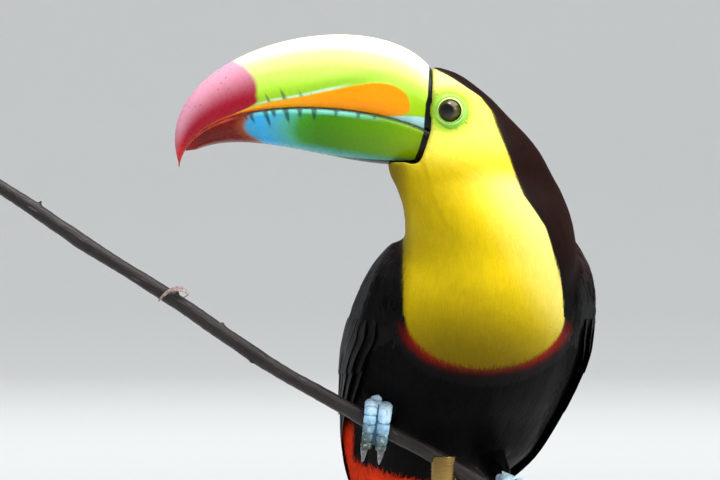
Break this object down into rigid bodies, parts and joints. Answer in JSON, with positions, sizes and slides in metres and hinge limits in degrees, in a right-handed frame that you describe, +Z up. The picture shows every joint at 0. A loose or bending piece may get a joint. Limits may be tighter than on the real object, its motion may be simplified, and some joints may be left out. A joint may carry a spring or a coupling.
{
  "type": "toucan",
  "caption": "Life-size still model of a keel-billed toucan gripping a sloping cut branch, held up by a short rod on a round wooden display base.",
  "frame": {"origin": "centre of the flat underside of the display base", "axes": "+Z up; the bird faces -Y with its head turned to its own right, so the bill points to -X; +X is the bird's left"},
  "size_m": [0.372, 0.2404, 0.4425],
  "materials": {
    "yellow_plumage": "soft overlapping feathers",
    "black_plumage": "glossy overlapping feathers",
    "green_bill": "smooth horn",
    "green_and_blue_bill": "smooth horn",
    "eye": "wet and glossy",
    "blue_foot": "scaled skin",
    "claw": "smooth horn",
    "bark": "thin smooth bark",
    "walnut": "oiled",
    "brass": "satin"
  },
  "bodies": {
    "root": {"head": "yellow_plumage", "neck": "yellow_plumage", "trunk": "black_plumage", "tail": "black_plumage", "wing_left": "black_plumage", "wing_right": "black_plumage", "thigh_left": "black_plumage", "thigh_right": "black_plumage", "bill_upper": "green_bill", "bill_lower": "green_and_blue_bill", "eye_left": "eye", "eye_right": "eye", "foot_left": "blue_foot", "foot_right": "blue_foot", "claw_left_1": "claw", "claw_left_2": "claw", "claw_left_3": "claw", "claw_left_4": "claw", "claw_right_1": "claw", "claw_right_2": "claw", "claw_right_3": "claw", "claw_right_4": "claw", "perch": "bark", "stand_base": "walnut", "stand_collar": "brass", "stand_rod": "brass", "stand_cradle": "brass"}
  },
  "joints": []
}
